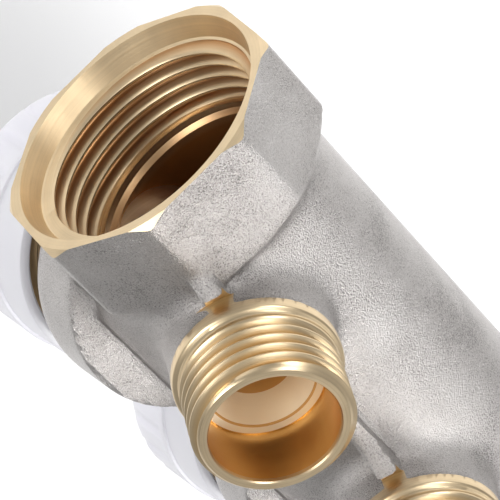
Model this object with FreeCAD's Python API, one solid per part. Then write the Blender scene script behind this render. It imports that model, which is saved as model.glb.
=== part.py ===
import FreeCAD
import Part

import math
import os

# Distribution manifold bar with three shut-off valves, in millimetres.
# +X runs along the bar from the female end, +Z is the way the outlets point.
# The origin is the centre of the octagonal end's face.

PORT_COUNT = 3
PORT_SPACING = 40.0
FIRST_PORT_X = 26.0

# Bar and its two ends
BAR_R = 17.0
BAR_BORE_R = 14.0
END_BORE_R = 12.5
END_BORE_START_X = 124.0
OCTAGON_FLATS = 38.0
OCTAGON_TURN_DEG = 5.0
OCTAGON_LENGTH = 12.5
SHOULDER_LENGTH = 2.6
FACE_EDGE_R = 19.6
INLET_MOUTH_R = 17.5
INLET_COUNTERBORE_R = 17.0
INLET_COUNTERBORE_DEPTH = 3.2
INLET_THREAD_R = 15.145
INLET_THREAD_END = 13.4
INLET_RELIEF_R = 14.5
INLET_RELIEF_END = 14.6
BAR_END_X = 142.0
END_THREAD_R = 16.62
END_THREAD_START = 132.0
END_GROOVE_START = 129.4
END_GROOVE_R = 14.9
END_CHAMFER = 1.3

# Rib along the forging's parting line
RIB_Y = -1.8
RIB_WIDTH = 2.9
RIB_TOP_Z = 18.9

# Outlets: male G1/2, with the thread cut after the forging
OUTLET_Y = -4.0
OUTLET_RIM_Z = 34.8
OUTLET_SHOULDER_Z = 22.7
OUTLET_SHOULDER_R = 11.1
OUTLET_SHOULDER_LENGTH = 1.4
OUTLET_THREAD_R = 10.4775
OUTLET_CHAMFER = 0.9
OUTLET_CUTTER_R = 13.4
OUTLET_BORE_R = 8.4
OUTLET_BORE_DEPTH = 9.4
OUTLET_STEP_R = 7.1
OUTLET_CONE_DEPTH = 4.3
OUTLET_HOLE_R = 5.0
OUTLET_HOLE_END_Z = 14.0

# Valve axis: leans from straight down towards -Y, and starts at the seat's centre
VALVE_LEAN_DEG = 25.0
SEAT_Z = 10.0
SEAT_BOSS_R = 8.0
SEAT_BOSS_LENGTH = 9.0
SEAT_HOLE_R = 4.5
CHAMBER_R = 9.5
DRUM_R = 18.2
DRUM_START = 12.2
DRUM_TOP = 24.9
DRUM_CHAMFER = 2.5
GALLERY_R = 12.5
GALLERY_START_X = 16.0
GALLERY_END_X = 122.0
GALLERY_FROM_SEAT = 9.0
BONNET_THREAD_R = 10.5
BONNET_THREAD_START = 14.0

# Pieces of one valve, by distance from the seat along the valve axis
SEAL_R = 6.2
SEAL_THICKNESS = 2.2
HOLDER_R = 7.1
HOLDER_LIP_START = 0.7
HOLDER_TOP = 5.6
SPINDLE_R = 2.5
SPINDLE_START = 3.4
SPINDLE_TOP = 39.5
RUNNING_CLEARANCE = 0.05
BONNET_HEX_FLATS = 22.0
BONNET_HEX_TOP = 29.0
BONNET_NECK_R = 14.2
BONNET_TOP = 37.5
SPRING_CAVITY_R = 6.9
SPRING_CAVITY_START = 24.0
BONNET_RING_INNER_R = 9.0
BONNET_RING_START = 21.6
BONNET_RING_END = 23.6
SPINDLE_RING_START = 16.0
SPINDLE_RING_WIDTH = 2.0
SPINDLE_RING_R = 4.5
SPRING_R = 4.6
SPRING_WIRE_R = 0.5
SPRING_TURNS = 4.0
SPRING_CUP_R = 6.5
SPRING_CUP_START = 33.0
SPRING_CUP_TOP = 34.2

# Knob
KNOB_START = 28.0
KNOB_STEP = 35.9
KNOB_TOP = 46.5
KNOB_SKIRT_R = 17.9
KNOB_GRIP_R = 18.6
KNOB_FLUTES = 24
KNOB_FLUTE_R = 1.6
KNOB_FLUTE_DEPTH = 0.6
KNOB_INNER_R = 16.2
KNOB_CEILING = 40.9
KNOB_COVER_R = 11.0
KNOB_COVER_DEPTH = 1.2
THREAD_RING_START = 30.0
THREAD_RING_END = 37.5
THREAD_RING_INNER_R = BONNET_NECK_R + RUNNING_CLEARANCE
PAD_R = 3.6

VECTOR_X = FreeCAD.Vector(1, 0, 0)
VECTOR_Z = FreeCAD.Vector(0, 0, 1)
LEAN = math.radians(VALVE_LEAN_DEG)
VALVE_AXIS = FreeCAD.Vector(0, -math.sin(LEAN), -math.cos(LEAN))
PORT_X = [FIRST_PORT_X + PORT_SPACING * i for i in range(PORT_COUNT)]


def seat_centre(x):
    return FreeCAD.Vector(x, OUTLET_Y, SEAT_Z)


def on_valve(x, shape):
    """Moves a shape built up +Z from the origin onto the valve axis of the port at x."""
    placed = shape.copy()
    turn = FreeCAD.Rotation(VECTOR_Z, VALVE_AXIS)
    placed.Placement = FreeCAD.Placement(seat_centre(x), turn).multiply(placed.Placement)
    return placed


def turned(outline):
    """A solid of revolution about +Z from a closed outline of (radius, height) points."""
    points = [FreeCAD.Vector(r, 0, z) for r, z in outline]
    wire = Part.makePolygon(points + points[:1])
    return Part.Face(wire).revolve(FreeCAD.Vector(0, 0, 0), VECTOR_Z, 360)


def turned_along_x(outline):
    """A solid of revolution about +X from a closed outline of (x, radius) points."""
    points = [FreeCAD.Vector(x, 0, r) for x, r in outline]
    wire = Part.makePolygon(points + points[:1])
    return Part.Face(wire).revolve(FreeCAD.Vector(0, 0, 0), VECTOR_X, 360)


def rod(radius, start, end):
    return Part.makeCylinder(radius, end - start, FreeCAD.Vector(0, 0, start), VECTOR_Z)


def tube(outer, inner, start, end):
    return rod(outer, start, end).cut(rod(inner, start, end))


def bar_rod(radius, start, end):
    return Part.makeCylinder(radius, end - start, FreeCAD.Vector(start, 0, 0), VECTOR_X)


def polygon_prism(sides, flats, start, end):
    """A prism up +Z with the given number of sides and width across flats."""
    corner = flats / 2 / math.cos(math.pi / sides)
    points = []
    for i in range(sides):
        angle = 2 * math.pi * i / sides
        points.append(FreeCAD.Vector(corner * math.cos(angle), corner * math.sin(angle), start))
    face = Part.Face(Part.makePolygon(points + points[:1]))
    return face.extrude(FreeCAD.Vector(0, 0, end - start))


def octagon_end():
    """The octagonal end with its turned face edge and the shoulder down to the bar."""
    prism = polygon_prism(8, OCTAGON_FLATS, 0, OCTAGON_LENGTH + SHOULDER_LENGTH)
    prism.rotate(FreeCAD.Vector(0, 0, 0), FreeCAD.Vector(0, 1, 0), 90)
    prism.rotate(FreeCAD.Vector(0, 0, 0), VECTOR_X, OCTAGON_TURN_DEG)
    corner_r = OCTAGON_FLATS / 2 / math.cos(math.pi / 8)
    reach = corner_r + 1
    envelope = turned_along_x([
        (0, 0),
        (0, FACE_EDGE_R),
        (reach - FACE_EDGE_R, reach),
        (OCTAGON_LENGTH, reach),
        (OCTAGON_LENGTH, corner_r),
        (OCTAGON_LENGTH + SHOULDER_LENGTH, BAR_R),
        (OCTAGON_LENGTH + SHOULDER_LENGTH, 0),
    ])
    return prism.common(envelope)


def drum():
    """The round housing that one valve screws into, with a chamfered top."""
    return turned([
        (0, DRUM_START),
        (DRUM_R, DRUM_START),
        (DRUM_R, DRUM_TOP - DRUM_CHAMFER),
        (DRUM_R - DRUM_CHAMFER, DRUM_TOP),
        (0, DRUM_TOP),
    ])


def forged_blank():
    """The outside of the bar before anything is machined."""
    blank = bar_rod(BAR_R, OCTAGON_LENGTH, END_GROOVE_START)
    blank = blank.fuse(octagon_end())
    gallery_base = seat_centre(GALLERY_START_X) + VALVE_AXIS * GALLERY_FROM_SEAT
    gallery = Part.makeCylinder(GALLERY_R, GALLERY_END_X - GALLERY_START_X, gallery_base, VECTOR_X)
    blank = blank.fuse(gallery)
    rib_length = PORT_X[-1] - OCTAGON_LENGTH
    rib_corner = FreeCAD.Vector(OCTAGON_LENGTH, RIB_Y - RIB_WIDTH / 2, 0)
    blank = blank.fuse(Part.makeBox(rib_length, RIB_WIDTH, RIB_TOP_Z, rib_corner))
    neck_top = OUTLET_SHOULDER_Z + OUTLET_SHOULDER_LENGTH
    for x in PORT_X:
        neck_foot = FreeCAD.Vector(x, OUTLET_Y, 0)
        blank = blank.fuse(Part.makeCylinder(OUTLET_SHOULDER_R, neck_top, neck_foot, VECTOR_Z))
        blank = blank.fuse(Part.makeCylinder(OUTLET_THREAD_R, OUTLET_RIM_Z, neck_foot, VECTOR_Z))
        blank = blank.fuse(on_valve(x, drum()))
    return blank


def male_end():
    """The threaded end with its seal groove."""
    return turned_along_x([
        (END_GROOVE_START, 0),
        (END_GROOVE_START, END_GROOVE_R),
        (END_THREAD_START, END_GROOVE_R),
        (END_THREAD_START, END_THREAD_R),
        (BAR_END_X - END_CHAMFER, END_THREAD_R),
        (BAR_END_X, END_THREAD_R - END_CHAMFER),
        (BAR_END_X, 0),
    ])


def bar_passage():
    """Everything that is bored out along the bar."""
    return turned_along_x([
        (-1, 0),
        (-1, INLET_MOUTH_R),
        (0, INLET_MOUTH_R),
        (0.9, INLET_COUNTERBORE_R),
        (INLET_COUNTERBORE_DEPTH, INLET_COUNTERBORE_R),
        (INLET_COUNTERBORE_DEPTH, INLET_THREAD_R),
        (INLET_THREAD_END, INLET_THREAD_R),
        (INLET_THREAD_END, INLET_RELIEF_R),
        (INLET_RELIEF_END, INLET_RELIEF_R),
        (INLET_RELIEF_END, BAR_BORE_R),
        (END_BORE_START_X, BAR_BORE_R),
        (END_BORE_START_X, END_BORE_R),
        (BAR_END_X + 1, END_BORE_R),
        (BAR_END_X + 1, 0),
    ])


def outlet_cutters(x):
    """What is cut away at one outlet: its outer chamfer, the notches in the rib and its bore."""
    axis_foot = FreeCAD.Vector(x, OUTLET_Y, 0)
    ring = tube(OUTLET_CUTTER_R, OUTLET_SHOULDER_R, OUTLET_SHOULDER_Z - 4, OUTLET_SHOULDER_Z + 4)
    ring.translate(axis_foot)
    rim = OUTLET_RIM_Z
    chamfer = turned([
        (OUTLET_THREAD_R - OUTLET_CHAMFER, rim),
        (OUTLET_THREAD_R + 1, rim - OUTLET_CHAMFER - 1),
        (OUTLET_THREAD_R + 1, rim + 1),
        (OUTLET_THREAD_R - OUTLET_CHAMFER, rim + 1),
    ])
    chamfer.translate(axis_foot)
    bore_end = rim - OUTLET_BORE_DEPTH
    cone_end = bore_end - OUTLET_CONE_DEPTH
    passage = turned([
        (0, rim + 1),
        (OUTLET_BORE_R, rim + 1),
        (OUTLET_BORE_R, bore_end),
        (OUTLET_STEP_R, bore_end),
        (OUTLET_HOLE_R, cone_end),
        (OUTLET_HOLE_R, OUTLET_HOLE_END_Z),
        (0, OUTLET_HOLE_END_Z),
    ])
    passage.translate(axis_foot)
    return [ring, chamfer, passage]


def valve_cutters(x):
    """What is bored from the drum's top: the thread for the bonnet, the chamber and the seat hole."""
    chamber = rod(CHAMBER_R, 0, BONNET_THREAD_START)
    thread = rod(BONNET_THREAD_R, BONNET_THREAD_START, DRUM_TOP + 1)
    hole = rod(SEAT_HOLE_R, -SEAT_BOSS_LENGTH + 0.5, 1)
    return [on_valve(x, shape) for shape in (chamber, thread, hole)]


def manifold_body():
    body = forged_blank().fuse(male_end()).cut(bar_passage())
    bosses = []
    for x in PORT_X:
        bosses.append(on_valve(x, rod(SEAT_BOSS_R, -SEAT_BOSS_LENGTH, 0)))
    body = body.fuse(bosses)
    cutters = []
    for x in PORT_X:
        cutters += outlet_cutters(x)
        cutters += valve_cutters(x)
    return body.cut(cutters).removeSplitter()


def bonnet():
    """The insert that screws into the drum and carries the spindle and the knob's thread."""
    spanner_hex = polygon_prism(6, BONNET_HEX_FLATS, DRUM_TOP, BONNET_HEX_TOP)
    spanner_hex.rotate(FreeCAD.Vector(0, 0, 0), VECTOR_Z, 30)
    shape = rod(BONNET_THREAD_R, BONNET_THREAD_START, DRUM_TOP).fuse(spanner_hex)
    shape = shape.fuse(rod(BONNET_NECK_R, BONNET_HEX_TOP, BONNET_TOP))
    ring_end = SPINDLE_RING_START + SPINDLE_RING_WIDTH
    hollows = [
        rod(SPINDLE_R + RUNNING_CLEARANCE, BONNET_THREAD_START - 1, BONNET_TOP),
        rod(SPINDLE_RING_R, SPINDLE_RING_START, ring_end),
        rod(SPRING_CAVITY_R, SPRING_CAVITY_START, BONNET_TOP + 1),
        tube(BONNET_THREAD_R + 1, BONNET_RING_INNER_R, BONNET_RING_START, BONNET_RING_END),
    ]
    return shape.cut(hollows)


def return_spring():
    """A compression spring round the spindle, between the bonnet's ledge and the spring cup."""
    low = SPRING_CAVITY_START + SPRING_WIRE_R + 0.05
    high = SPRING_CUP_START - SPRING_WIRE_R - 0.05
    helix = Part.makeHelix((high - low) / SPRING_TURNS, high - low, SPRING_R)
    helix.translate(FreeCAD.Vector(0, 0, low))
    start = FreeCAD.Vector(SPRING_R, 0, low)
    wire_circle = Part.Circle(start, FreeCAD.Vector(0, 1, 0), SPRING_WIRE_R)
    profile = Part.Wire(wire_circle.toShape())
    return Part.Wire(helix).makePipeShell([profile], True, True)


def disc_holder():
    cup = rod(HOLDER_R, HOLDER_LIP_START, HOLDER_TOP)
    return cup.cut([rod(SEAL_R, 0, SEAL_THICKNESS), rod(SPINDLE_R, SPINDLE_START, HOLDER_TOP + 1)])


def knob():
    """The hand knob: plain skirt, fluted grip, domed edge at the top."""
    outside = turned([
        (0, KNOB_START),
        (KNOB_SKIRT_R, KNOB_START),
        (KNOB_SKIRT_R, KNOB_STEP),
        (KNOB_GRIP_R - 0.3, KNOB_STEP),
        (KNOB_GRIP_R, KNOB_STEP + 0.3),
        (KNOB_GRIP_R, KNOB_TOP - 2.0),
        (KNOB_GRIP_R - 0.6, KNOB_TOP - 0.6),
        (KNOB_GRIP_R - 2.0, KNOB_TOP),
        (0, KNOB_TOP),
    ])
    flutes = []
    for i in range(KNOB_FLUTES):
        angle = 2 * math.pi * i / KNOB_FLUTES
        reach = KNOB_GRIP_R + KNOB_FLUTE_R - KNOB_FLUTE_DEPTH
        flute = rod(KNOB_FLUTE_R, KNOB_STEP + 1.2, KNOB_TOP + 1)
        flute.translate(FreeCAD.Vector(reach * math.cos(angle), reach * math.sin(angle), 0))
        flutes.append(flute)
    hollows = [
        rod(KNOB_INNER_R, KNOB_START - 1, THREAD_RING_END),
        rod(BONNET_NECK_R, THREAD_RING_END - 1, KNOB_CEILING - 1.4),
        rod(PAD_R, KNOB_CEILING - 2.4, KNOB_CEILING),
        rod(KNOB_COVER_R, KNOB_TOP - KNOB_COVER_DEPTH, KNOB_TOP + 1),
    ]
    return outside.cut(flutes + hollows)


def valve_pieces():
    """Each piece of one valve, built up +Z from the seat."""
    ring_end = SPINDLE_RING_START + SPINDLE_RING_WIDTH
    ring_inner = SPINDLE_R + RUNNING_CLEARANCE
    return {
        "disc_seal": rod(SEAL_R, 0, SEAL_THICKNESS),
        "disc_holder": disc_holder(),
        "spindle": rod(SPINDLE_R, SPINDLE_START, SPINDLE_TOP),
        "spindle_seal_ring": tube(SPINDLE_RING_R, ring_inner, SPINDLE_RING_START, ring_end),
        "bonnet": bonnet(),
        "bonnet_seal_ring": tube(
            BONNET_THREAD_R, BONNET_RING_INNER_R, BONNET_RING_START, BONNET_RING_END),
        "return_spring": return_spring(),
        "spring_cup": tube(SPRING_CUP_R, SPINDLE_R, SPRING_CUP_START, SPRING_CUP_TOP),
        "knob": knob(),
        "knob_thread_ring": tube(
            KNOB_INNER_R, THREAD_RING_INNER_R, THREAD_RING_START, THREAD_RING_END),
        "knob_thrust_pad": rod(PAD_R, SPINDLE_TOP, KNOB_CEILING),
        "knob_cover": rod(KNOB_COVER_R, KNOB_TOP - KNOB_COVER_DEPTH, KNOB_TOP),
    }


def end_seal_ring():
    """The ring in the groove behind the male thread."""
    section_r = (END_THREAD_START - END_GROOVE_START) / 2 - 0.1
    centre_x = (END_THREAD_START + END_GROOVE_START) / 2
    return Part.makeTorus(END_GROOVE_R + section_r, section_r, FreeCAD.Vector(centre_x, 0, 0), VECTOR_X)


def export(name, shape):
    solids = shape.Solids
    if not solids or not all(solid.isValid() for solid in solids):
        raise RuntimeError(name + " is not a valid solid")
    shape = solids[0] if len(solids) == 1 else Part.makeCompound(solids)
    shape.exportStep(os.path.join("parts", name + ".step"))
    print(name, len(solids), round(shape.Volume, 1))


def main():
    os.makedirs("parts", exist_ok=True)
    export("manifold_body", manifold_body())
    export("end_seal_ring", end_seal_ring())
    for number, x in enumerate(PORT_X, start=1):
        for name, shape in valve_pieces().items():
            export(name + "_" + str(number), on_valve(x, shape))


main()
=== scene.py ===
import math

import bmesh
import bpy
import numpy as np
from mathutils import Matrix, Vector


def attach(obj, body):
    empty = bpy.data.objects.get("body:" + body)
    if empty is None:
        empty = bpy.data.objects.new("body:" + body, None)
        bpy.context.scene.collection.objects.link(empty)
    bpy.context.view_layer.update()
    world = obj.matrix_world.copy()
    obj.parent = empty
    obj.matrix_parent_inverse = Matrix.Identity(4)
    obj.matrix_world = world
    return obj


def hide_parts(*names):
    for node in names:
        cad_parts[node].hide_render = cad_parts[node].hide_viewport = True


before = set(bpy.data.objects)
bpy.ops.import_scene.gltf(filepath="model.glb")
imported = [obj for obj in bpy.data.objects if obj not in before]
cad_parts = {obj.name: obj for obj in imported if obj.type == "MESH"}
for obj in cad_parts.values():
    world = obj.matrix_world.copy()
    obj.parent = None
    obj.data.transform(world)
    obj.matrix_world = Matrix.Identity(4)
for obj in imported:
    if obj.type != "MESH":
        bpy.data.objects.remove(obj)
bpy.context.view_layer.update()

# Sizes in millimetres, in the row frame: +X along the bar, +Z the way the outlets point.
PORTS = (26.0, 66.0, 106.0)
PORT_SPACING = 40.0
BAR_R = 17.0
BAR_BORE_R = 14.0
BAR_END_X = 142.0
PAST_BAR_END_X = 146.0
END_THREAD_X = 132.0
END_BORE_R = 12.5
OCTAGON_FLAT = 19.0
OCTAGON_CORNER = 20.57
OCTAGON_TURN = math.radians(5.0)
OCTAGON_LENGTH = 13.2
MOUTH_R = 18.1
MOUTH_DEPTH = 3.2
RELIEF_X = 13.4
RELIEF_R = 14.5
OUTLET_Y = -4.0
OUTLET_RIM_Z = 34.8
OUTLET_BORE_R = 8.4
OUTLET_STEP_Z = 25.4
OUTLET_CONE_R = 7.1
OUTLET_HOLE_R = 5.0
NECK_R = 10.95
COLLAR_R = 11.1
NOTCH_R = 13.0
RIB_Y = -1.8
RIB_Z = 18.8
SEAT_Z = 10.0
SEAT_HOLE_R = 4.5
SEAT_BOSS_R = 8.0
HOUSING_R = 18.2
HOUSING_START = 12.2
HOUSING_END = 24.9
KNOB_R = 18.45
CROWN_R = 2.2
CROWN_BASE = 44.3
COVER_R = 11.0
COVER_BASE = 45.3
SPRING_BASE = 24.55
LEAN = math.radians(25.0)
VALVE_AXIS = np.array([0.0, -math.sin(LEAN), -math.cos(LEAN)])
VALVE_SIDE = np.array([0.0, -math.cos(LEAN), math.sin(LEAN)])

# British pipe threads: (pitch, radius at the roots of the male, radius at its crests)
ONE_INCH = (2.309, 15.145, 16.62)
HALF_INCH = (1.814, 9.316, 10.4775)


# --- node trees ---------------------------------------------------------------------------------

class Value:
    """One output of a node tree, with arithmetic that adds Math nodes."""

    def __init__(self, nodes, socket):
        self.nodes, self.socket = nodes, socket

    def maths(self, operation, *values):
        inputs = dict(enumerate((self,) + values))
        return self.nodes.add("ShaderNodeMath", {"operation": operation}, inputs)

    def __add__(self, other):
        return self.maths("ADD", other)

    def __mul__(self, other):
        return self.maths("MULTIPLY", other)

    def __sub__(self, other):
        return self.maths("SUBTRACT", other)

    def __rsub__(self, other):
        return (self * -1.0) + other

    def __truediv__(self, other):
        return self.maths("DIVIDE", other)

    def __rtruediv__(self, other):
        return self.nodes.add("ShaderNodeMath", {"operation": "DIVIDE"}, {0: other, 1: self})


class Nodes:
    """A node tree; add() makes any node from its type, its settings and its inputs."""

    def __init__(self, tree):
        self.tree = tree

    def add(self, kind, settings=None, inputs=None, output=0):
        node = self.tree.nodes.new(kind)
        for name, value in (settings or {}).items():
            if name == "stops":
                for element, (place, shade) in zip(node.color_ramp.elements, value):
                    element.position, element.color = place, (shade, shade, shade, 1)
            else:
                setattr(node, name, value)
        for name, value in (inputs or {}).items():
            if isinstance(value, Value):
                self.tree.links.new(value.socket, node.inputs[name])
            else:
                node.inputs[name].default_value = value
        return Value(self, node.outputs[output]) if node.outputs else None

    def noise(self, vector, scale, detail=2.0, roughness=0.5):
        inputs = {"Vector": vector, "Scale": scale, "Detail": detail, "Roughness": roughness}
        return self.add("ShaderNodeTexNoise", None, inputs)

    def ramp(self, value, low, high):
        """0 below low, 1 above high."""
        return self.add("ShaderNodeValToRGB", {"stops": ((low, 0.0), (high, 1.0))}, {"Fac": value})

    def mix(self, factor, first, second):
        inputs = {0: factor, 6: first, 7: second}
        return self.add("ShaderNodeMix", {"data_type": "RGBA"}, inputs, 2)

    def place(self):
        """Where a point lies on the object, in millimetres."""
        point = self.add("ShaderNodeTexCoord", output=3)
        scaled = {0: point, 3: 1000.0}
        return self.add("ShaderNodeVectorMath", {"operation": "SCALE"}, scaled)

    def parts(self, vector):
        split = self.tree.nodes.new("ShaderNodeSeparateXYZ")
        self.tree.links.new(vector.socket, split.inputs[0])
        return [Value(self, socket) for socket in split.outputs]

    def vector(self, x, y, z):
        return self.add("ShaderNodeCombineXYZ", None, {0: x, 1: y, 2: z})


def material(name):
    made = bpy.data.materials.new(name)
    made.use_nodes = True
    made.node_tree.nodes.clear()
    return made, Nodes(made.node_tree)


def surface(nodes, inputs, height=None, depth=0.00005, strength=1.0):
    """Ends a material in the Principled shader, with an optional bump."""
    if height is not None:
        bump = {"Height": height, "Strength": strength, "Distance": depth}
        inputs["Normal"] = nodes.add("ShaderNodeBump", None, bump)
    shader = nodes.add("ShaderNodeBsdfPrincipled", None, inputs)
    nodes.add("ShaderNodeOutputMaterial", None, {"Surface": shader})


def round_axis(nodes, point, axis):
    """(distance from the axis, distance along it) for the bar, the outlets or the valves."""
    x, y, z = nodes.parts(point)
    if axis == "bar":
        return (y * y + z * z).maths("SQRT"), x
    half = PORT_SPACING / 2
    across = (x - (PORTS[0] - half)).maths("MODULO", PORT_SPACING) - half
    if axis == "outlet":
        side, along = y - OUTLET_Y, z
    else:
        side = (y - OUTLET_Y) * float(VALVE_SIDE[1]) + (z - SEAT_Z) * float(VALVE_SIDE[2])
        along = (y - OUTLET_Y) * float(VALVE_AXIS[1]) + (z - SEAT_Z) * float(VALVE_AXIS[2])
    return (across * across + side * side).maths("SQRT"), along


def turned_metal(name, colour, roughness, axis, lines=2.2,
                 shade_paint=None, painted_shade_colour=None, inner_roughness=0.0):
    """Metal off the lathe: fine rings round the axis, a little stain, and painted shade where the
    shade mask says.

    With an inner roughness, what lies within the bore's wall is rougher and is painted paler, a
    painted highlight.
    """
    made, nodes = material(name)
    point = nodes.place()
    radius, along = round_axis(nodes, point, axis)
    rings = nodes.noise(nodes.vector(radius, along, 0.0), lines, 3.0, 0.75)
    stain = nodes.noise(point, 0.25, 3.0)
    dark = tuple(c * 0.84 for c in colour) + (1,)
    light = tuple(min(c * 1.08, 1.0) for c in colour) + (1,)
    shade = nodes.mix(nodes.ramp(rings * 0.6 + stain * 0.4, 0.34, 0.66), dark, light)
    metallic = 1.0
    uneven = rings * 0.16 + (roughness - 0.08)
    if inner_roughness:
        inner = radius.maths("LESS_THAN", OUTLET_BORE_R - 0.2)
        # Painted highlight: within the bore's wall the colour is mixed to a pale brass, and made
        # less metallic, so it looks brightly lit.
        shade = nodes.mix(inner, shade, PAINTED_LIGHT_BRASS)
        metallic = 1.0 - inner * 0.55
        uneven = uneven + inner * inner_roughness
    # Painted shade: where the shade mask says, the colour goes to the darker painted shade colour.
    if shade_paint:
        shade = nodes.mix(shade_paint(nodes, radius, along), shade, painted_shade_colour + (1,))
    surface(nodes, {
        "Base Color": shade,
        "Metallic": metallic,
        "Roughness": uneven,
    }, rings, 0.00005, 0.5)
    return made


def bore_painted_shade(nodes, radius, along):
    """Painted shade: dark brown in the inlet thread's valleys and in the bore behind it."""
    past_mouth = along.maths("GREATER_THAN", MOUTH_DEPTH + 0.05)
    inside = past_mouth * along.maths("LESS_THAN", END_THREAD_X - 4.0)
    valley = nodes.ramp((radius - 15.2) / 1.4, 0.05, 0.8) * inside
    deep = nodes.ramp((along - 12.0) / 5.0, 0.1, 0.9) * inside
    return (valley * 0.75).maths("MAXIMUM", deep * 0.95)


def outlet_painted_shade(nodes, radius, along):
    """Painted shade: amber in the outlet thread's valleys, on the bore's wall and in the hole below
    it.
    """
    below = along.maths("LESS_THAN", OUTLET_RIM_Z - 0.8)
    valley = nodes.ramp((radius - 8.9) / 1.7, 0.35, 0.85) * -1.0 + 1.0
    outside = radius.maths("GREATER_THAN", 8.9) * along.maths("GREATER_THAN", 24.0)
    within = radius.maths("LESS_THAN", OUTLET_BORE_R + 0.1)
    wall = radius.maths("GREATER_THAN", OUTLET_BORE_R - 0.2) * within
    line = (radius - OUTLET_CONE_R).maths("ABSOLUTE").maths("LESS_THAN", 0.12)
    hole = radius.maths("LESS_THAN", OUTLET_HOLE_R + 0.05)
    amber = valley * outside * 0.6
    for place in (wall, line, hole):
        amber = amber.maths("MAXIMUM", place)
    return amber * below


def blasted_nickel():
    """Nickel plate over a sandblasted forging: sparkling grain, dark pits, soft wear."""
    made, nodes = material("blasted_nickel")
    point = nodes.place()
    grain = nodes.noise(point, 4.6, 2.0, 0.7)
    patches = nodes.noise(point, 0.09, 4.0, 0.6)
    pits = 1.0 - nodes.ramp(grain * 0.62 + patches * 0.38, 0.36, 0.45)
    tone = nodes.ramp(grain * 0.6 + patches * 0.4, 0.36, 0.64)
    colour = nodes.mix(tone, (0.40, 0.375, 0.36, 1), (0.62, 0.595, 0.58, 1))
    surface(nodes, {
        "Base Color": nodes.mix(pits * 0.7, colour, (0.16, 0.15, 0.145, 1)),
        "Metallic": 1.0,
        "Roughness": patches * 0.12 + 0.27,
    }, grain, 0.00024, 0.8)
    return made


def moulded_plastic():
    """White moulded plastic, faintly lavender, a little translucent."""
    made, nodes = material("white_moulding")
    point = nodes.place()
    skin = nodes.noise(point, 1.6, 3.0)
    cloud = nodes.noise(point, 0.09, 2.0)
    surface(nodes, {
        "Base Color": nodes.mix(cloud, (0.80, 0.79, 0.86, 1), (0.88, 0.875, 0.92, 1)),
        "Roughness": skin * 0.14 + 0.26,
        "IOR": 1.49,
        "Subsurface Weight": 0.35,
        "Subsurface Radius": (1.0, 0.95, 1.0),
        "Subsurface Scale": 0.004,
    }, skin, 0.00004, 0.25)
    return made


def rubber():
    made, nodes = material("seal_rubber")
    skin = nodes.noise(nodes.place(), 2.4, 4.0)
    surface(nodes, {
        "Base Color": nodes.mix(skin, (0.012, 0.012, 0.013, 1), (0.035, 0.034, 0.034, 1)),
        "Roughness": skin * 0.2 + 0.5,
    }, skin, 0.00006, 0.4)
    return made


def pale_floor():
    made, nodes = material("pale_floor")
    mottle = nodes.noise(nodes.place(), 0.02, 2.0)
    surface(nodes, {
        "Base Color": nodes.mix(mottle, (0.95, 0.95, 0.95, 1), (0.97, 0.97, 0.97, 1)),
        "Roughness": 0.9,
    })
    return made


BRASS = (0.76, 0.60, 0.385)
# Painted highlight colour for the cone inside the outlet bore.
PAINTED_LIGHT_BRASS = (0.98, 0.90, 0.74, 1)
NICKEL = blasted_nickel()
# The bar's brass, with painted shade in the inlet thread's valleys and deep in the bore.
BAR_BRASS = turned_metal(
    "bar_brass", BRASS, 0.40, "bar", shade_paint=bore_painted_shade, painted_shade_colour=(0.46, 0.20, 0.055))
# The outlets' brass, with painted shade in the thread's valleys, on the bore's wall and in the
# hole, and a painted highlight on the cone.
OUTLET_BRASS = turned_metal(
    "outlet_brass", BRASS, 0.31, "outlet",
    shade_paint=outlet_painted_shade, painted_shade_colour=(0.70, 0.43, 0.16), inner_roughness=0.22)
VALVE_BRASS = turned_metal("valve_brass", (0.78, 0.58, 0.33), 0.30, "valve")
VALVE_NICKEL = turned_metal("valve_nickel", (0.60, 0.57, 0.555), 0.33, "valve")
STEEL = turned_metal("drawn_steel", (0.62, 0.61, 0.60), 0.24, "valve", lines=4.0)
PLASTIC = moulded_plastic()
RUBBER = rubber()


# --- meshes -------------------------------------------------------------------------------------

def solid(name, points, faces, materials, merge=True):
    """A mesh object from millimetres, with its doubles merged and its faces pointing out."""
    mesh = bpy.data.meshes.new(name)
    mesh.from_pydata((np.asarray(points) / 1000.0).tolist(), [], [list(map(int, f)) for f in faces])
    if merge:
        work = bmesh.new()
        work.from_mesh(mesh)
        bmesh.ops.remove_doubles(work, verts=work.verts, dist=2e-7)
        loose = [edge for edge in work.edges if not edge.link_faces]
        bmesh.ops.delete(work, geom=loose, context="EDGES")
        bmesh.ops.recalc_face_normals(work, faces=work.faces)
        work.to_mesh(mesh)
        work.free()
    for item in materials:
        mesh.materials.append(item)
    made = bpy.data.objects.new(name, mesh)
    bpy.context.scene.collection.objects.link(made)
    return made


def smooth(piece, degrees=32.0):
    piece.data.shade_smooth()
    piece.data.set_sharp_from_angle(angle=math.radians(degrees))


def thread_wave(turn):
    """The thread's height from root to crest, 0 to 1, with rounded tops."""
    rounded = 0
    for shift in (-0.03, 0.0, 0.03):
        slope = 1 - np.abs(2 * ((turn + shift) % 1.0) - 1)
        rounded = rounded + np.clip(slope * 1.5 - 0.25, 0, 1) / 3
    return rounded


def plain_rows(points, columns):
    return [np.column_stack([np.full(columns, r), np.full(columns, z)]) for z, r in points]


def thread_rows(start, end, thread, columns, steps=12, fade=0.0, run_out=0.0):
    """Rows that follow the helix from start to end, cut off flat at both ends.

    A female thread may fade towards its end, and a male one may run out at its start.
    """
    pitch, root, crest = thread
    turn = np.linspace(0, 1, columns)
    rows = []
    count = math.ceil((end - start) / pitch * steps) + steps + 1
    for base in start - pitch + np.arange(count) * pitch / steps:
        along = np.clip(base + pitch * turn, start, end)
        height = thread_wave((along / pitch - turn) % 1.0)
        if fade:
            height = height * np.clip((end - along) / fade, 0, 1)
        if run_out:
            height = 1 - (1 - height) * np.clip((along - start) / run_out, 0, 1)
        rows.append(np.column_stack([root + (crest - root) * height, along]))
    return rows


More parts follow.
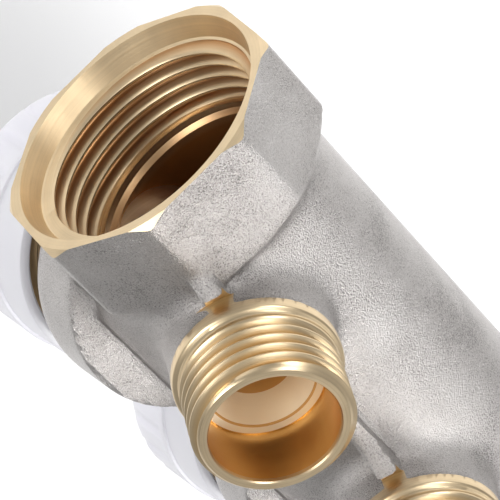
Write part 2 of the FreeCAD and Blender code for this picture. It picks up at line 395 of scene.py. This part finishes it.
def spun(name, rows, along, first, second, centre, materials, closed=False):
    """A solid of revolution: each row is a ring of (radius, distance along the axis)."""
    columns = len(rows[0])
    angle = np.linspace(0, 2 * math.pi, columns)
    ring = np.cos(angle)[:, None] * first + np.sin(angle)[:, None] * second
    points = np.concatenate([centre + row[:, :1] * ring + row[:, 1:] * along for row in rows])
    spans = range(len(rows) if closed else len(rows) - 1)
    faces = []
    for i in spans:
        low, high = i * columns, ((i + 1) % len(rows)) * columns
        faces += [(low + j, low + j + 1, high + j + 1, high + j) for j in range(columns - 1)]
    return solid(name, points, faces, materials)


X, Y, Z = np.eye(3)


def on_bar(name, rows, materials=(BAR_BRASS,), closed=False):
    return spun(name, rows, X, Y, Z, np.zeros(3), materials, closed)


def on_outlet(name, port, rows, materials=(OUTLET_BRASS,), closed=False):
    return spun(name, rows, Z, X, Y, np.array([port, OUTLET_Y, 0.0]), materials, closed)


def on_valve(name, port, rows, materials=(VALVE_BRASS,), closed=False):
    centre = np.array([port, OUTLET_Y, SEAT_Z])
    return spun(name, rows, VALVE_AXIS, X, VALVE_SIDE, centre, materials, closed)


# --- the forging --------------------------------------------------------------------------------

def joined(a, b, fillet):
    """The nearer of two shapes, with a fillet of about that size between them."""
    near = np.maximum(fillet - np.abs(a - b), 0) / fillet
    return np.minimum(a, b) - near * near * fillet / 4


def shared(a, b, rounding):
    return -joined(-a, -b, rounding)


def octagon(x, y, z, r):
    """The octagonal end, with its corners turned back behind by a cone."""
    flats = None
    for i in range(8):
        angle = math.pi / 8 + i * math.pi / 4 - OCTAGON_TURN
        flat = y * math.sin(angle) + z * math.cos(angle) - OCTAGON_FLAT
        flats = flat if flats is None else shared(flats, flat, 0.5)
    shoulder = (x - OCTAGON_LENGTH) * 0.808 + (r - OCTAGON_CORNER) * 0.589
    return shared(flats, shoulder, 0.5)


def forging(points):
    """Distance to the outside of the forged bar, before machining; negative inside."""
    x, y, z = points.T
    r = np.hypot(y, z)
    shape = joined(np.maximum(r - BAR_R, 8 - x), octagon(x, y, z, r), 1.8)
    gallery = np.hypot(y + 7.80, z - 1.84) - 12.5
    gallery = shared(gallery, np.abs(x - 69.0) - 53.0, 3.0)
    shape = joined(shape, gallery, 3.0)
    side = (y - OUTLET_Y) * VALVE_SIDE[1] + (z - SEAT_Z) * VALVE_SIDE[2]
    along = (y - OUTLET_Y) * VALVE_AXIS[1] + (z - SEAT_Z) * VALVE_AXIS[2]
    rib_top = RIB_Z
    for port in PORTS:
        housing = shared(np.hypot(x - port, side) - HOUSING_R, along - HOUSING_END, 4.5)
        shape = joined(shape, shared(housing, HOUSING_START - along, 0.8), 1.8)
        reach = np.hypot(x - port, y - OUTLET_Y)
        collar = NECK_R + 0.9 * np.clip((z - 22.3) / 0.8, 0, 1)
        neck = np.maximum(reach - collar, np.abs(z - 20.0) - 16.0)
        shape = joined(shape, neck, 3.0)
        rib_top = rib_top + 4.2 * np.exp(-((reach - 11.6) / 3.6) ** 2)
    rib = shared(np.abs(y - RIB_Y) - 1.45, z - rib_top, 0.9)
    rib = np.maximum(rib, np.maximum(np.abs(x - 57.0) - 49.0, 5.0 - z))
    ends = np.abs(x - 71.6) - 72.8
    return np.maximum(joined(shape, rib, 0.5), ends)


PROBE = 0.02


def surface_net(field, low, high, step):
    """Points and four-sided faces on the zero surface of a distance field.

    The points start in the middle of the grid's mixed cells. They are then evened out and
    pulled back to the surface along the field's slope.
    """
    axes = [np.arange(a, b + step, step) for a, b in zip(low, high)]
    grid = np.stack(np.meshgrid(*axes, indexing="ij"), -1)
    inside = (field(grid.reshape(-1, 3)) < 0).reshape(grid.shape[:3])
    count = sum(
        inside[i:i - 1 or None, j:j - 1 or None, k:k - 1 or None].astype(int)
        for i in (0, 1) for j in (0, 1) for k in (0, 1))
    mixed = (count > 0) & (count < 8)
    number = np.full(mixed.shape, -1)
    number[mixed] = np.arange(mixed.sum())
    points = np.argwhere(mixed) * step + np.array(low) + step / 2
    faces = []
    for axis in range(3):
        turned = np.moveaxis(inside, axis, 0)
        cells = np.moveaxis(number, axis, 0)
        crossing = turned[:-1, 1:-1, 1:-1] != turned[1:, 1:-1, 1:-1]
        i, j, k = np.nonzero(crossing)
        quads = np.column_stack([
            cells[i, j, k], cells[i, j + 1, k], cells[i, j + 1, k + 1], cells[i, j, k + 1]])
        away = turned[:-1, 1:-1, 1:-1][crossing] != (axis == 1)
        quads = np.where(away[:, None], quads, quads[:, ::-1])
        faces.append(quads)
    faces = np.concatenate(faces)
    pairs = np.concatenate([faces[:, (i, (i + 1) % 4)] for i in range(4)])
    for _ in range(4):
        total = np.zeros_like(points)
        links = np.zeros(len(points))
        np.add.at(total, pairs[:, 0], points[pairs[:, 1]])
        np.add.at(links, pairs[:, 0], 1)
        points = points * 0.4 + total / links[:, None] * 0.6
        for _ in range(3):
            distance = field(points)
            moved = [field(points + PROBE * axis) - distance for axis in (X, Y, Z)]
            slope = np.column_stack(moved) / PROBE
            steepness = np.maximum((slope ** 2).sum(1), 0.2)
            points = points - (distance / steepness)[:, None] * slope
    return points, faces


def machine(part, tool, operation="DIFFERENCE"):
    """Cuts the tool out of the part, or adds it; the new faces take the tool's finish."""
    finishes = list(part.data.materials)
    finish = finishes.index(tool.data.materials[0])
    tool.data.materials.clear()
    for item in finishes:
        tool.data.materials.append(item)
    tool.data.polygons.foreach_set("material_index", [finish] * len(tool.data.polygons))
    cut = part.modifiers.new("cut", "BOOLEAN")
    cut.operation, cut.solver, cut.object = operation, "MANIFOLD", tool
    evaluated = part.evaluated_get(bpy.context.evaluated_depsgraph_get())
    made = bpy.data.meshes.new_from_object(evaluated)
    part.modifiers.clear()
    before, part.data = part.data, made
    bpy.data.meshes.remove(before)
    spent = tool.data
    bpy.data.objects.remove(tool)
    bpy.data.meshes.remove(spent)


def face_tool():
    """Faces the octagon's end and turns its corners back at 45 degrees."""
    outline = [(-3, 0), (-3, 30), (2.4, 30), (2.4, 22), (0, 19.6), (0, 0)]
    return on_bar("face_tool", plain_rows(outline, 145))


def inlet_tool():
    """The mouth, the one inch thread, the relief and the bore through the bar."""
    columns = 145
    rows = plain_rows([
        (-1, 0), (-1, MOUTH_R), (0, MOUTH_R), (3.0, 16.95), (MOUTH_DEPTH, 16.6)], columns)
    rows += thread_rows(MOUTH_DEPTH, RELIEF_X, ONE_INCH, columns, 14, fade=0.9)
    rows += plain_rows([
        (RELIEF_X, RELIEF_R), (14.4, RELIEF_R), (15.1, BAR_BORE_R), (124, BAR_BORE_R),
        (125, END_BORE_R), (PAST_BAR_END_X, END_BORE_R), (PAST_BAR_END_X, 0)], columns)
    return on_bar("inlet_tool", rows)


def end_tool():
    """The through end's seal groove, thread and end face, as one closed ring."""
    columns = 109
    clear, inside = 19, 12.0
    rows = plain_rows([
        (129.4, clear), (129.4, 15.3), (129.8, 14.9), (131.7, 14.9), (END_THREAD_X, ONE_INCH[1])],
        columns)
    rows += thread_rows(END_THREAD_X, 141.1, ONE_INCH, columns)
    rows += plain_rows([
        (BAR_END_X, 15.2), (BAR_END_X, inside), (PAST_BAR_END_X, inside), (PAST_BAR_END_X, clear)],
        columns)
    return on_bar("end_tool", rows, closed=True)


def outlet_tool(port):
    """Everything outside the outlet's thread, down to the notches in the rib."""
    columns = 121
    above_rim = 38
    rows = plain_rows([
        (20.9, NOTCH_R), (20.8, 12.0), (20.7, 11.5), (20.5, COLLAR_R),
        (23.7, COLLAR_R), (23.95, 11.0), (24.1, 10.8)], columns)
    rows += thread_rows(24.3, 33.9, HALF_INCH, columns, run_out=2.2)
    rows += plain_rows([
        (34.4, 9.75), (34.65, 9.6), (OUTLET_RIM_Z, 9.45), (OUTLET_RIM_Z, 0),
        (above_rim, 0), (above_rim, NOTCH_R)], columns)
    return on_outlet("outlet_tool", port, rows, closed=True)


def passage_tool(port):
    """The outlet's bore, its step and cone, and the hole down to the seat."""
    outline = [
        (36, 0), (36, 8.55), (OUTLET_RIM_Z, 8.55), (34.6, OUTLET_BORE_R),
        (OUTLET_STEP_Z, OUTLET_BORE_R), (OUTLET_STEP_Z, OUTLET_CONE_R),
        (21.1, OUTLET_HOLE_R), (14.0, OUTLET_HOLE_R), (14.0, 0)]
    return on_outlet("passage_tool", port, plain_rows(outline, 121))


def valve_tool(port):
    """The seat's hole, the room for the disc and the socket for the bonnet."""
    outline = [
        (-8.5, 0), (-8.5, SEAT_HOLE_R), (0, SEAT_HOLE_R), (0, 9.5), (14, 9.5),
        (14, 10.5), (26, 10.5), (26, 0)]
    return on_valve("valve_tool", port, plain_rows(outline, 97))


def seat_boss(port):
    """The round boss inside the bar that carries the seat."""
    outline = [(-9, 0), (-9, SEAT_BOSS_R), (0, SEAT_BOSS_R), (0, 0)]
    return on_valve("seat_boss", port, plain_rows(outline, 73))


def manifold_bar():
    """The forging, machined in the order that the real one is."""
    points, faces = surface_net(forging, (-1.6, -33.5, -23.0), (146.0, 23.0, 37.6), 0.8)
    finishes = (NICKEL, BAR_BRASS, OUTLET_BRASS, VALVE_BRASS)
    bar = solid("manifold_bar", points, faces, finishes, merge=False)
    machine(bar, face_tool())
    machine(bar, end_tool())
    machine(bar, inlet_tool())
    for port in PORTS:
        machine(bar, seat_boss(port), "UNION")
        machine(bar, outlet_tool(port))
        machine(bar, passage_tool(port))
        machine(bar, valve_tool(port))
    smooth(bar)
    return bar


# --- knobs and springs --------------------------------------------------------------------------

def group_input(tree, name, kind, value):
    """A named input of a geometry tree, and the value that the modifier gives it."""
    made = tree.interface.new_socket(name, in_out="INPUT", socket_type=kind)
    return made.identifier, value


def grown(carrier, tree, values):
    """Runs a geometry tree on a carrier object and keeps the plain mesh that it makes."""
    modifier = carrier.modifiers.new("grown", "NODES")
    modifier.node_group = tree
    for identifier, value in values:
        modifier[identifier] = value
    carrier.data.update()
    evaluated = carrier.evaluated_get(bpy.context.evaluated_depsgraph_get())
    mesh = bpy.data.meshes.new_from_object(evaluated)
    carrier.modifiers.clear()
    carrier.data = mesh
    return carrier


def finish_tree(nodes, geometry, finish):
    """Ends a geometry tree in Realize Instances and Set Material."""
    real = nodes.add("GeometryNodeRealizeInstances", None, {0: geometry})
    painted = nodes.add("GeometryNodeSetMaterial", None, {"Geometry": real, "Material": finish})
    nodes.tree.interface.new_socket("Geometry", in_out="OUTPUT", socket_type="NodeSocketGeometry")
    nodes.add("NodeGroupOutput", None, {0: painted})


def flute_tree():
    """Presses flutes into a knob's grip, where a round cutter beside it would reach."""
    tree = bpy.data.node_groups.new("knob_flutes", "GeometryNodeTree")
    nodes = Nodes(tree)
    tree.interface.new_socket("Geometry", in_out="INPUT", socket_type="NodeSocketGeometry")
    values = [
        group_input(tree, "Flutes", "NodeSocketFloat", 24.0),
        group_input(tree, "Cutter radius", "NodeSocketFloat", 0.0016),
        group_input(tree, "Cutter distance", "NodeSocketFloat", 0.0196),
        group_input(tree, "Start height", "NodeSocketFloat", 0.0370),
    ]
    entry = tree.nodes.new("NodeGroupInput")
    named = [Value(nodes, socket) for socket in entry.outputs[:5]]
    geometry, flutes, cutter, distance, start = named
    x, y, z = nodes.parts(nodes.add("GeometryNodeInputPosition"))
    radius = (x * x + y * y).maths("SQRT")
    step = 2 * math.pi / flutes
    turn = (y.maths("ARCTAN2", x) + 4 * math.pi).maths("MODULO", step)
    angle = step * 0.5 - (turn - step * 0.5).maths("ABSOLUTE")
    offset = distance * angle.maths("SINE")
    reach = (cutter * cutter - offset * offset).maths("MAXIMUM", 0.0).maths("SQRT")
    wall = distance * angle.maths("COSINE") - reach
    missed = offset.maths("GREATER_THAN", cutter)
    low = z.maths("LESS_THAN", start)
    kept = radius.maths("MINIMUM", wall + missed + low)
    share = kept / radius.maths("MAXIMUM", 0.0001)
    moved = nodes.add("GeometryNodeSetPosition", None, {
        "Geometry": geometry, "Position": nodes.vector(x * share, y * share, z)})
    finish_tree(nodes, moved, PLASTIC)
    return tree, values


def spring_tree():
    """A round wire wound into a helix up +Z."""
    tree = bpy.data.node_groups.new("wire_spring", "GeometryNodeTree")
    nodes = Nodes(tree)
    values = [
        group_input(tree, "Turns", "NodeSocketFloat", 4.0),
        group_input(tree, "Coil radius", "NodeSocketFloat", 0.0046),
        group_input(tree, "Height", "NodeSocketFloat", 0.0079),
        group_input(tree, "Wire radius", "NodeSocketFloat", 0.0005),
    ]
    entry = tree.nodes.new("NodeGroupInput")
    turns, coil, height, wire = [Value(nodes, socket) for socket in entry.outputs[:4]]
    helix = nodes.add("GeometryNodeCurveSpiral", None, {
        "Resolution": 28, "Rotations": turns,
        "Start Radius": coil, "End Radius": coil, "Height": height})
    section = nodes.add("GeometryNodeCurvePrimitiveCircle", None, {
        "Resolution": 10, "Radius": wire})
    coiled = nodes.add("GeometryNodeCurveToMesh", None, {
        "Curve": helix, "Profile Curve": section, "Fill Caps": True})
    finish_tree(nodes, coiled, STEEL)
    return tree, values


def valve_place(port):
    """Takes a piece built up +Z from the origin onto the valve's axis."""
    turn = Matrix([X, VALVE_SIDE, VALVE_AXIS]).transposed().to_4x4()
    return Matrix.Translation(Vector((port, OUTLET_Y, SEAT_Z)) / 1000.0) @ turn


def knob_rows():
    """The knob's closed outline: skirt, grip, rounded crown, recess and hollow."""
    columns = 24 * 14 + 1
    outline = [
        (28.0, 16.5), (28.0, 17.5), (28.12, 17.78), (28.4, 17.9), (35.6, 17.9), (35.85, 18.0),
        (35.95, 18.35)]
    outline += [(along, KNOB_R) for along in (36.2, 36.9, 37.1, 37.5, 40.0, 42.5, CROWN_BASE)]
    for i in range(1, 9):
        bend = i * math.pi / 16
        along = CROWN_BASE + CROWN_R * math.sin(bend)
        outline.append((along, 16.23 + CROWN_R * math.cos(bend)))
    outline += [
        (46.5, 11.4), (46.35, 11.1), (46.1, COVER_R), (COVER_BASE, COVER_R), (COVER_BASE, 0),
        (40.9, 0), (40.9, 3.6), (39.5, 3.6), (39.5, 14.2), (37.5, 14.2), (37.5, 16.2), (28.3, 16.2)]
    return plain_rows(outline, columns)


def knob(port, number, tree, values):
    """A knob's body, spun up +Z, fluted by the tree and then put on its valve."""
    name = "knob_grip_%d" % number
    made = spun(name, knob_rows(), Z, X, Y, np.zeros(3), (PLASTIC,), closed=True)
    grown(made, tree, values)
    made.data.transform(valve_place(port))
    smooth(made, 30)
    return made


def knob_cap(port, number):
    """The disc that closes the knob: a shallow dish with a rolled edge."""
    outline = [
        (COVER_BASE, 0), (COVER_BASE, 10.9), (46.0, 10.95), (46.3, 10.85), (46.42, 10.5),
        (46.35, 10.0), (46.15, 9.5), (46.05, 8.0), (46.0, 4.0), (46.05, 3.0), (46.0, 2.4),
        (46.0, 0)]
    made = on_valve("knob_cap_%d" % number, port, plain_rows(outline, 97), (PLASTIC,))
    smooth(made, 40)
    return made


def spring(port, number, tree, values):
    """A return spring, grown by the tree on an empty carrier."""
    carrier = bpy.data.objects.new("spring_wire_%d" % number, bpy.data.meshes.new("spring_wire"))
    bpy.context.scene.collection.objects.link(carrier)
    grown(carrier, tree, values)
    carrier.data.transform(valve_place(port) @ Matrix.Translation((0, 0, SPRING_BASE / 1000.0)))
    smooth(carrier, 50)
    return carrier


# --- camera, floor and light --------------------------------------------------------------------

def add_camera():
    data = bpy.data.cameras.new("camera")
    data.lens, data.sensor_width = 202.97, 36.0
    data.clip_start, data.clip_end = 0.01, 20.0
    camera = bpy.data.objects.new("camera", data)
    right = Vector((0.5672, 0.8026, 0.1846))
    down = Vector((0.5915, -0.553, 0.5868))
    ahead = Vector((0.573, -0.2237, -0.7884))
    turn = Matrix([right, -down, -ahead]).transposed().to_4x4()
    camera.matrix_world = Matrix.Translation((-0.1871, 0.0831, 0.2939)) @ turn
    bpy.context.scene.collection.objects.link(camera)
    bpy.context.scene.camera = camera


def add_light(name, place, size, power):
    """A soft square lamp aimed at the bar."""
    data = bpy.data.lights.new(name, "AREA")
    data.size, data.energy = size, power
    lamp = bpy.data.objects.new(name, data)
    lamp.location = place
    aim = Vector((0.05, -0.005, 0.0)) - Vector(place)
    lamp.rotation_mode = "QUATERNION"
    lamp.rotation_quaternion = aim.to_track_quat("-Z", "Y")
    bpy.context.scene.collection.objects.link(lamp)


def add_studio():
    half = 3000.0
    level = -110.0
    corners = [(x * half, y * half, level) for x, y in ((-1, -1), (1, -1), (1, 1), (-1, 1))]
    floor = solid("floor", corners, [(0, 1, 2, 3)], (pale_floor(),), merge=False)
    add_light("key", (0.45, 0.20, 0.60), 0.24, 4.3)
    add_light("side", (-0.30, 0.60, 0.35), 0.25, 1.3)
    add_light("top", (-0.20, 0.36, 0.66), 0.22, 0.8)
    add_light("fill", (-0.55, -0.35, 0.50), 0.35, 3.0)
    world = bpy.data.worlds.new("studio")
    world.use_nodes = True
    background = world.node_tree.nodes["Background"]
    background.inputs["Color"].default_value = (1, 1, 1, 1)
    background.inputs["Strength"].default_value = 0.36
    bpy.context.scene.world = world


def repaint(node, finish):
    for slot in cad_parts[node].material_slots:
        slot.material = finish


def add_piece(piece, body, node):
    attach(piece, body)
    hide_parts(node)


def main():
    bpy.context.scene.view_settings.view_transform = "Standard"
    add_camera()
    add_studio()
    add_piece(manifold_bar(), "manifold", "manifold_body")
    repaint("end_seal_ring", RUBBER)
    flutes, flute_values = flute_tree()
    springs, spring_values = spring_tree()
    for number, port in enumerate(PORTS, start=1):
        tag = "_%d" % number
        knob_body = "knob%s_body" % tag
        grip = knob(port, number, flutes, flute_values)
        add_piece(grip, knob_body, "knob" + tag)
        add_piece(knob_cap(port, number), knob_body, "knob_cover" + tag)
        add_piece(
            spring(port, number, springs, spring_values),
            "manifold", "return_spring" + tag)
        for node in ("disc_seal", "spindle_seal_ring", "bonnet_seal_ring"):
            repaint(node + tag, RUBBER)
        for node in ("disc_holder", "spring_cup", "knob_thread_ring"):
            repaint(node + tag, VALVE_BRASS)
        repaint("bonnet" + tag, VALVE_NICKEL)
        for node in ("spindle", "knob_thrust_pad"):
            repaint(node + tag, STEEL)


main()
